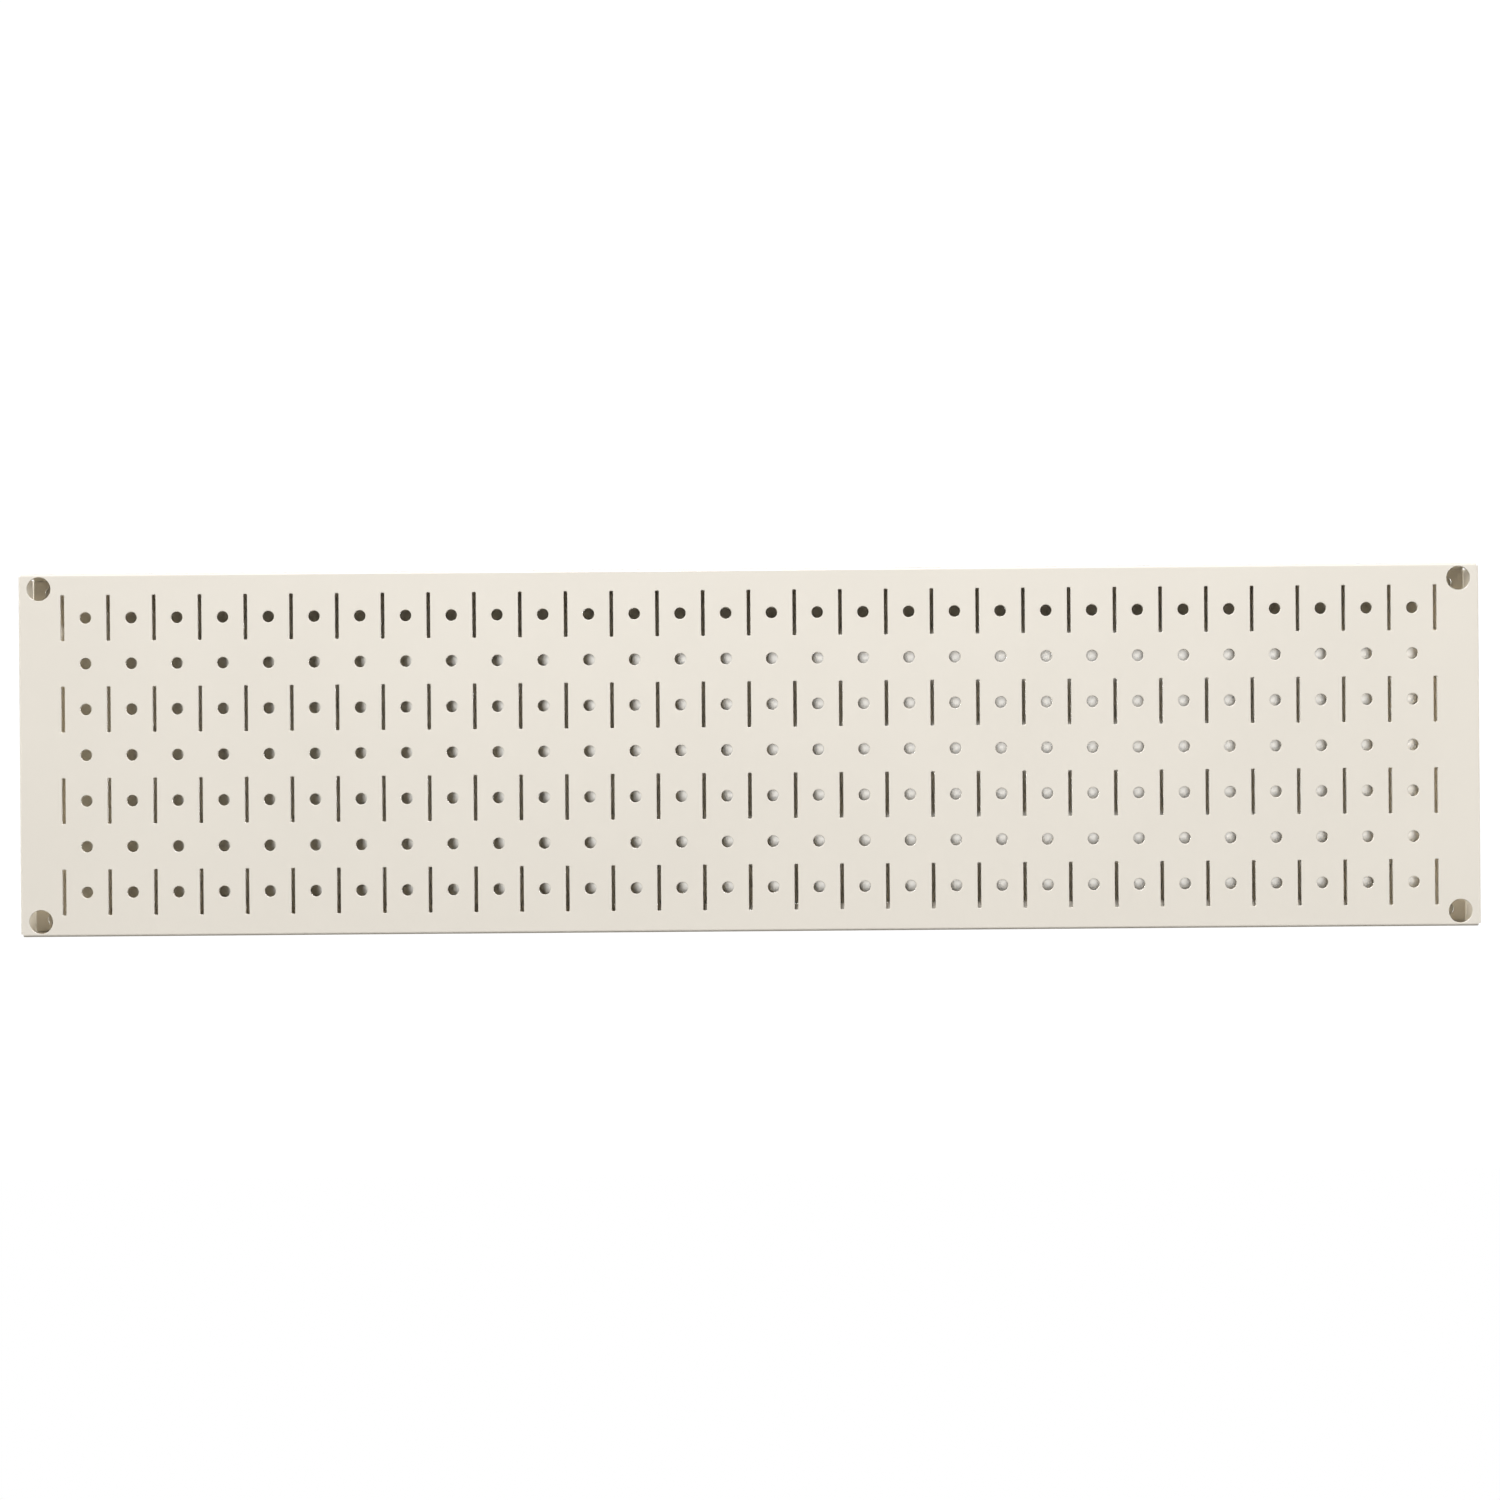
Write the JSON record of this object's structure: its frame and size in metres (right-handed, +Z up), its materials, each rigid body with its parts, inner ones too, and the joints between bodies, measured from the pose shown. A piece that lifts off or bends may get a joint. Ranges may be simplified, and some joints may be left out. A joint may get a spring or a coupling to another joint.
{
  "type": "pegboard tool wall",
  "caption": "Shallow folded steel pegboard strip with round peg holes, upright hook slots, corner access holes and rear lips that screw flat to a wall.",
  "frame": {"origin": "centre of the four wall screw holes, in the plane of the wall behind the return lips", "axes": "+X along the panel to the right as seen from the front, +Y into the wall, +Z up; the perforated face looks towards -Y"},
  "size_m": [0.8112, 0.0191, 0.2016],
  "materials": {
    "cream_powder_coat": "glossy cream powder coat on steel sheet"
  },
  "bodies": {
    "root": {"face_panel": "cream_powder_coat", "top_flange": "cream_powder_coat", "right_flange": "cream_powder_coat", "bottom_flange": "cream_powder_coat", "left_flange": "cream_powder_coat", "top_return_lip": "cream_powder_coat", "bottom_return_lip": "cream_powder_coat", "left_return_lip": "cream_powder_coat", "right_return_lip": "cream_powder_coat"}
  },
  "joints": []
}
